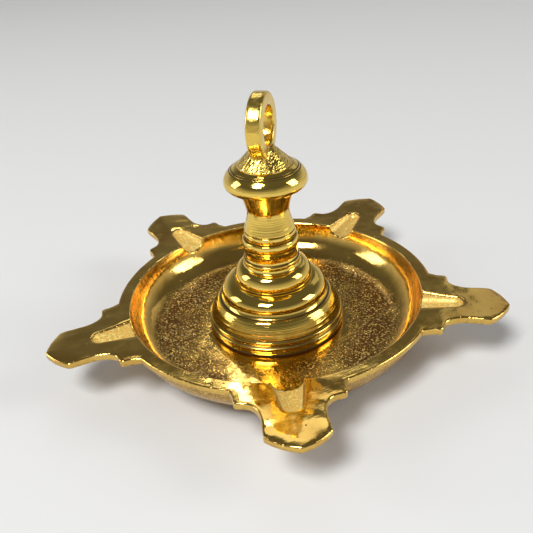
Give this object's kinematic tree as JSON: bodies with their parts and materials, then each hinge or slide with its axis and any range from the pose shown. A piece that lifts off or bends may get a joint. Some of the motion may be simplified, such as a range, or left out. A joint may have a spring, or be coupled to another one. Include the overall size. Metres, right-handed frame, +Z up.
{
  "type": "hanging oil lamp",
  "caption": "Hanging brass oil lamp: a round shallow pan with pointed beaks cut by wick grooves, and a turned stem that ends in a knob and a fixed ring.",
  "frame": {"origin": "on the stem's axis, in the plane that the pan's foot ring stands on", "axes": "+Z up along the stem, -Y along one of the five beaks"},
  "size_m": [0.172, 0.1649, 0.1034],
  "materials": {
    "cast_brass": "cast, then buffed on its upper faces and edges, left granular in the grooves",
    "polished_brass": "turned and polished, with fine lathe rings",
    "steel": "plain, dull",
    "gasket": "matt pressed fibre"
  },
  "bodies": {
    "root": {"oil_pan": "cast_brass", "bell_foot": "polished_brass", "turned_neck": "polished_brass", "crown_knob": "polished_brass", "suspension_ring": "cast_brass", "tie_rod": "steel", "foot_gasket": "gasket", "base_washer": "steel", "base_nut": "steel"}
  },
  "joints": []
}
